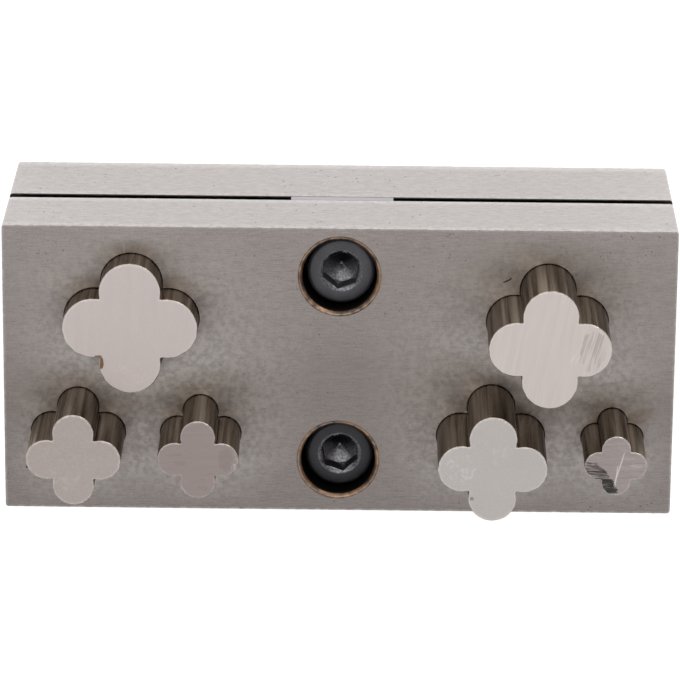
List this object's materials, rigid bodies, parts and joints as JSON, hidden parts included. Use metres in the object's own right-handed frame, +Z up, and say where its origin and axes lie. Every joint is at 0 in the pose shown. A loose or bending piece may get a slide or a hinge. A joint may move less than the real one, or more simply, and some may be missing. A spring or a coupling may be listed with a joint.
{
  "type": "disc cutter",
  "caption": "Jeweller's disc cutter: a two-plate steel block with a slot for sheet metal and loose quatrefoil punches of graded sizes.",
  "frame": {"origin": "middle of the die plate's underside, on the bench that the block lies on", "axes": "+X along the block to the right, +Y across it from the edge nearest the front row of four punches to the edge behind the two large ones, +Z up along the punches, from their cutting ends to the ends that are struck"},
  "size_m": [0.1, 0.0444, 0.048],
  "materials": {
    "ground_steel": "surface ground, fine lines along the block's length",
    "punch_steel": "drawn sides with lengthwise streaks, faced ends",
    "spacer_metal": "smooth satin strip",
    "black_oxide": "black oxide, lightly oiled",
    "pin_steel": "ground pin"
  },
  "bodies": {
    "block": {"die_plate": "ground_steel", "guide_plate": "ground_steel", "spacer_strip": "spacer_metal", "cap_screw_back": "black_oxide", "cap_screw_front": "black_oxide", "spring_washer_back": "black_oxide", "spring_washer_front": "black_oxide", "dowel_pin_left": "pin_steel", "dowel_pin_right": "pin_steel"},
    "back_left": {"punch_back_left": "punch_steel"},
    "back_right": {"punch_back_right": "punch_steel"},
    "front_left": {"punch_front_left": "punch_steel"},
    "front_inner_left": {"punch_front_inner_left": "punch_steel"},
    "front_inner_right": {"punch_front_inner_right": "punch_steel"},
    "front_right": {"punch_front_right": "punch_steel"}
  },
  "joints": [
    {"name": "back_left_slide", "type": "slide", "parent": "block", "child": "back_left", "axis": [0, 0, 1], "range_m": [-0.0053, 0.0383]},
    {"name": "back_right_slide", "type": "slide", "parent": "block", "child": "back_right", "axis": [0, 0, 1], "range_m": [-0.0132, 0.0383]},
    {"name": "front_left_slide", "type": "slide", "parent": "block", "child": "front_left", "axis": [0, 0, 1], "range_m": [-0.0127, 0.0383]},
    {"name": "front_inner_left_slide", "type": "slide", "parent": "block", "child": "front_inner_left", "axis": [0, 0, 1], "range_m": [-0.012, 0.0383]},
    {"name": "front_inner_right_slide", "type": "slide", "parent": "block", "child": "front_inner_right", "axis": [0, 0, 1], "range_m": [-0.0147, 0.0383]},
    {"name": "front_right_slide", "type": "slide", "parent": "block", "child": "front_right", "axis": [0, 0, 1], "range_m": [-0.0127, 0.0383]}
  ]
}
